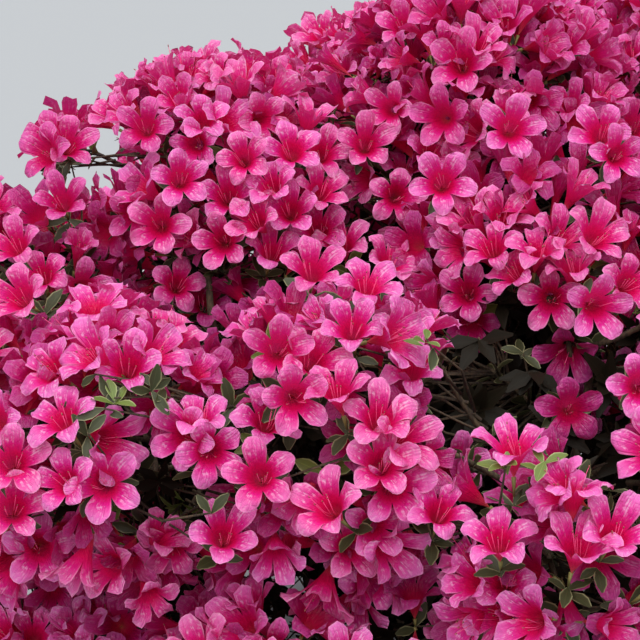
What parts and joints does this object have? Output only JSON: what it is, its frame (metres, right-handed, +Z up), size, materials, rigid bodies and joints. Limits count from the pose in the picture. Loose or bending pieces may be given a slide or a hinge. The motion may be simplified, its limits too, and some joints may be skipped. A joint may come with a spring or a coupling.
{
  "type": "azalea shrub",
  "caption": "Rounded small-leaved evergreen shrub in full pink bloom: a short main stem, spreading boughs and masses of twigs with leaves and five-lobed blossoms.",
  "frame": {"origin": "centre of the flat cut under the main stem, at ground level", "axes": "+Z up along the stem from level ground; the side seen in the picture faces -Y"},
  "size_m": [1.0151, 0.9449, 0.6908],
  "materials": {
    "bark": "grey-brown bark, finely fissured and flaking, matt",
    "blossom": "thin crinkled petals, hot pink with a deeper throat and paler lobe ends",
    "leaf": "small leathery leaves, olive green above and paler below, half matt",
    "twig": "thin green-brown twigs, matt"
  },
  "bodies": {
    "root": {"main_stem": "bark", "bough_top": "bark", "bough_upper_1": "bark", "bough_upper_2": "bark", "bough_upper_3": "bark", "bough_upper_4": "bark", "bough_upper_5": "bark", "bough_upper_6": "bark", "bough_lower_1": "bark", "bough_lower_2": "bark", "bough_lower_3": "bark", "bough_lower_4": "bark", "bough_lower_5": "bark", "bough_lower_6": "bark", "bough_lower_7": "bark", "bough_lower_8": "bark", "mass_top": "blossom", "mass_upper_1": "blossom", "mass_upper_2": "blossom", "mass_upper_3": "blossom", "mass_upper_4": "blossom", "mass_upper_5": "blossom", "mass_upper_6": "blossom", "mass_lower_1": "blossom", "mass_lower_2": "blossom", "mass_lower_3": "blossom", "mass_lower_4": "blossom", "mass_lower_5": "blossom", "mass_lower_6": "blossom", "mass_lower_7": "blossom", "mass_lower_8": "blossom"}
  },
  "joints": []
}
